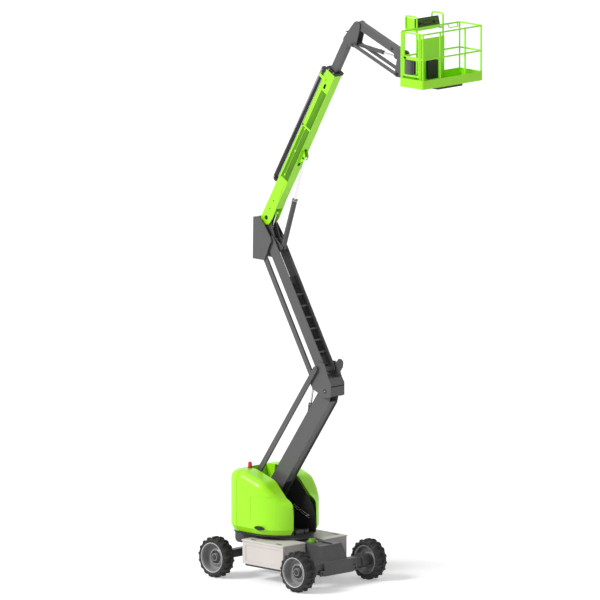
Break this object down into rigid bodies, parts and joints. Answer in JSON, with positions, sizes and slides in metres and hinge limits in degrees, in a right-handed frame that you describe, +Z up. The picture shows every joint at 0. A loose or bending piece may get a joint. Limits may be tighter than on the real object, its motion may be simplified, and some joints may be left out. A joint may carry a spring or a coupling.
{
  "type": "articulating boom lift",
  "caption": "Electric self-propelled articulating boom lift with folding riser arms, telescoping main boom, jib and rotating basket, standing with its arms raised.",
  "frame": {"origin": "on the ground under the slewing axis, halfway between the two axles", "axes": "+X towards the basket end, +Y to the left side, +Z up"},
  "size_m": [6.0827, 2.29, 11.8991],
  "materials": {
    "green_paint": "glossy bright green paint",
    "grey_paint": "satin dark grey paint",
    "black_parts": "black",
    "tyre_rubber": "black rubber",
    "box_white": "off-white paint",
    "chrome_rod": "polished",
    "rim_grey": "dark grey paint"
  },
  "bodies": {
    "chassis": {"chassis_frame": "grey_paint", "drive_axle": "grey_paint", "steer_axle": "grey_paint", "tie_lugs": "grey_paint", "battery_boxes": "box_white", "battery_lids": "box_white", "slew_ring": "grey_paint"},
    "drive_wheel_left": {"drive_rim_left": "rim_grey", "drive_tyre_left": "tyre_rubber"},
    "drive_wheel_right": {"drive_rim_right": "rim_grey", "drive_tyre_right": "tyre_rubber"},
    "steer_wheel_left": {"steer_rim_left": "rim_grey", "steer_tyre_left": "tyre_rubber"},
    "steer_wheel_right": {"steer_rim_right": "rim_grey", "steer_tyre_right": "tyre_rubber"},
    "knuckle_left": {"steer_knuckle_left": "grey_paint"},
    "knuckle_right": {"steer_knuckle_right": "grey_paint"},
    "turret": {"turret_frame": "grey_paint", "counterweight": "green_paint", "hydraulic_unit": "black_parts"},
    "cover_left": {"side_cover_left": "green_paint"},
    "cover_right": {"side_cover_right": "green_paint"},
    "lower_arm": {"lower_arm": "grey_paint"},
    "lower_link": {"lower_link": "grey_paint"},
    "riser_knuckle": {"riser_knuckle": "grey_paint"},
    "upper_arm": {"upper_arm": "grey_paint"},
    "upper_link": {"upper_link": "grey_paint"},
    "upright": {"upright": "grey_paint"},
    "boom": {"main_boom": "green_paint", "boom_head": "black_parts", "cable_track": "black_parts"},
    "fly": {"fly_boom": "grey_paint"},
    "jib_bracket": {"jib_bracket": "grey_paint"},
    "jib_arm": {"jib_arm": "grey_paint"},
    "jib_links": {"jib_links": "grey_paint"},
    "platform_bracket": {"platform_bracket": "grey_paint"},
    "platform": {"basket_mount": "grey_paint", "basket_floor": "green_paint", "basket_rails": "green_paint", "basket_panel": "green_paint", "manual_case": "black_parts", "console": "black_parts"},
    "gate": {"basket_gate": "green_paint"},
    "riser_barrel": {"riser_cylinder_barrel": "grey_paint"},
    "riser_rod": {"riser_cylinder_rod": "chrome_rod"},
    "lift_barrel": {"lift_cylinder_barrel": "grey_paint"},
    "lift_rod": {"lift_cylinder_rod": "chrome_rod"},
    "level_barrel": {"level_cylinder_barrel": "grey_paint"},
    "level_rod": {"level_cylinder_rod": "chrome_rod"},
    "jib_barrel": {"jib_cylinder_barrel": "grey_paint"},
    "jib_rod": {"jib_cylinder_rod": "chrome_rod"}
  },
  "joints": [
    {"name": "drive_wheel_left_spin", "type": "hinge", "parent": "chassis", "child": "drive_wheel_left", "pos_m": [1.16, 1, 0.413], "axis": [0, 1, 0], "continuous": true},
    {"name": "drive_wheel_right_spin", "type": "hinge", "parent": "chassis", "child": "drive_wheel_right", "pos_m": [1.16, -1, 0.413], "axis": [0, 1, 0], "continuous": true},
    {"name": "steer_wheel_left_spin", "type": "hinge", "parent": "knuckle_left", "child": "steer_wheel_left", "pos_m": [-1.16, 1, 0.413], "axis": [0, 1, 0], "continuous": true},
    {"name": "steer_wheel_right_spin", "type": "hinge", "parent": "knuckle_right", "child": "steer_wheel_right", "pos_m": [-1.16, -1, 0.413], "axis": [0, 1, 0], "continuous": true},
    {"name": "steer_left", "type": "hinge", "parent": "chassis", "child": "knuckle_left", "pos_m": [-1.16, 0.79, 0.413], "axis": [0, 0, 1], "range_deg": [-38, 38]},
    {"name": "steer_right", "type": "hinge", "parent": "chassis", "child": "knuckle_right", "pos_m": [-1.16, -0.79, 0.413], "axis": [0, 0, 1], "range_deg": [-38, 38]},
    {"name": "slew", "type": "hinge", "parent": "chassis", "child": "turret", "pos_m": [0, 0, 0.89], "axis": [0, 0, 1], "range_deg": [-177.5, 177.5]},
    {"name": "cover_left_open", "type": "hinge", "parent": "turret", "child": "cover_left", "pos_m": [-0.4, 0.346, 2.1], "axis": [1, 0, 0], "range_deg": [0, 62]},
    {"name": "cover_right_open", "type": "hinge", "parent": "turret", "child": "cover_right", "pos_m": [-0.4, -0.346, 2.1], "axis": [-1, 0, 0], "range_deg": [0, 62]},
    {"name": "riser_lift", "type": "hinge", "parent": "turret", "child": "lower_arm", "pos_m": [-0.75, 0, 1.32], "axis": [0, -1, 0], "range_deg": [-60, 5]},
    {"name": "lower_link_swing", "type": "hinge", "parent": "turret", "child": "lower_link", "pos_m": [-0.98, 0, 1.75], "axis": [0, -1, 0], "range_deg": [-60.01, 5.01]},
    {"name": "knuckle_level", "type": "hinge", "parent": "lower_arm", "child": "riser_knuckle", "pos_m": [1.10265, 0, 3.96586], "axis": [0, 1, 0], "range_deg": [-60.01, 5.01]},
    {"name": "upper_arm_fold", "type": "hinge", "parent": "riser_knuckle", "child": "upper_arm", "pos_m": [0.95265, 0, 4.37086], "axis": [0, 1, 0], "range_deg": [-54.46, 4.55]},
    {"name": "upper_link_swing", "type": "hinge", "parent": "riser_knuckle", "child": "upper_link", "pos_m": [0.73265, 0, 4.17086], "axis": [0, 1, 0], "range_deg": [-54.46, 4.55]},
    {"name": "upright_level", "type": "hinge", "parent": "upper_arm", "child": "upright", "pos_m": [-0.49597, 0, 6.82524], "axis": [0, -1, 0], "range_deg": [-54.46, 4.55]},
    {"name": "boom_lift", "type": "hinge", "parent": "upright", "child": "boom", "pos_m": [-0.63797, 0, 7.27124], "axis": [0, -1, 0], "range_deg": [-65, 15]},
    {"name": "fly_extend", "type": "slide", "parent": "boom", "child": "fly", "axis": [0.5, 0, 0.866], "range_m": [-0.57, 0.8]},
    {"name": "bracket_level", "type": "hinge", "parent": "fly", "child": "jib_bracket", "pos_m": [1.58203, 0, 11.11639], "axis": [0, 1, 0], "range_deg": [-65.01, 15.01]},
    {"name": "jib_lift", "type": "hinge", "parent": "jib_bracket", "child": "jib_arm", "pos_m": [1.90203, 0, 11.46139], "axis": [0, -1, 0], "range_deg": [-44.3, 75.7]},
    {"name": "jib_links_swing", "type": "hinge", "parent": "jib_bracket", "child": "jib_links", "pos_m": [1.80202, 0, 11.06639], "axis": [0, -1, 0], "range_deg": [-44.31, 75.71]},
    {"name": "platform_level", "type": "hinge", "parent": "jib_arm", "child": "platform_bracket", "pos_m": [3.1181, 0, 11.00188], "axis": [0, 1, 0], "range_deg": [-44.31, 75.71]},
    {"name": "platform_rotate", "type": "hinge", "parent": "platform_bracket", "child": "platform", "pos_m": [3.3431, 0, 10.60188], "axis": [0, 0, 1], "range_deg": [-80, 80]},
    {"name": "gate_swing", "type": "hinge", "parent": "platform", "child": "gate", "pos_m": [4.3821, -0.838, 11.15188], "axis": [0, 0, -1], "range_deg": [0, 85]},
    {"name": "riser_cylinder_swing", "type": "hinge", "parent": "lower_arm", "child": "riser_barrel", "pos_m": [0.3301, 0, 2.70738], "axis": [0, -1, 0], "range_deg": [-7.46, 0.64]},
    {"name": "riser_cylinder_stroke", "type": "slide", "parent": "riser_barrel", "child": "riser_rod", "axis": [0.1982, 0, 0.9802], "range_m": [-0.4901, 0.0413]},
    {"name": "lift_cylinder_swing", "type": "hinge", "parent": "upright", "child": "lift_barrel", "pos_m": [-0.26098, 0, 6.69524], "axis": [0, -1, 0], "range_deg": [-59.17, 13.67]},
    {"name": "lift_cylinder_stroke", "type": "slide", "parent": "lift_barrel", "child": "lift_rod", "axis": [0.31, 0, 0.9508], "range_m": [-0.7005, 0.162]},
    {"name": "level_cylinder_swing", "type": "hinge", "parent": "upright", "child": "level_barrel", "pos_m": [-0.68297, 0, 6.80824], "axis": [0, -1, 0], "range_deg": [-12.89, 2.99]},
    {"name": "level_cylinder_stroke", "type": "slide", "parent": "level_barrel", "child": "level_rod", "axis": [0.3801, 0, 0.925], "range_m": [-0.1994, 0.0464]},
    {"name": "jib_cylinder_swing", "type": "hinge", "parent": "jib_bracket", "child": "jib_barrel", "pos_m": [1.80202, 0, 11.06639], "axis": [0, -1, 0], "range_deg": [-39.67, 67.77]},
    {"name": "jib_cylinder_stroke", "type": "slide", "parent": "jib_barrel", "child": "jib_rod", "axis": [0.9935, 0, -0.1138], "range_m": [-0.2539, 0.4335]}
  ],
  "couplings": [
    {"joint": "steer_right", "follows": "steer_left", "ratio": 1},
    {"joint": "lower_link_swing", "follows": "riser_lift", "ratio": 1},
    {"joint": "knuckle_level", "follows": "riser_lift", "ratio": 1},
    {"joint": "upper_arm_fold", "follows": "riser_lift", "ratio": 0.9075},
    {"joint": "upper_link_swing", "follows": "riser_lift", "ratio": 0.9075},
    {"joint": "upright_level", "follows": "riser_lift", "ratio": 0.9075},
    {"joint": "bracket_level", "follows": "boom_lift", "ratio": 1},
    {"joint": "jib_links_swing", "follows": "jib_lift", "ratio": 1},
    {"joint": "platform_level", "follows": "jib_lift", "ratio": 1},
    {"joint": "riser_cylinder_swing", "follows": "riser_lift", "ratio": 0.124},
    {"joint": "riser_cylinder_stroke", "follows": "riser_lift", "m_per_rad": 0.46753},
    {"joint": "lift_cylinder_swing", "follows": "boom_lift", "ratio": 0.91},
    {"joint": "lift_cylinder_stroke", "follows": "boom_lift", "m_per_rad": 0.61708},
    {"joint": "level_cylinder_swing", "follows": "boom_lift", "ratio": 0.198},
    {"joint": "level_cylinder_stroke", "follows": "boom_lift", "m_per_rad": 0.17533},
    {"joint": "jib_cylinder_swing", "follows": "jib_lift", "ratio": 0.895},
    {"joint": "jib_cylinder_stroke", "follows": "jib_lift", "m_per_rad": 0.32773}
  ]
}
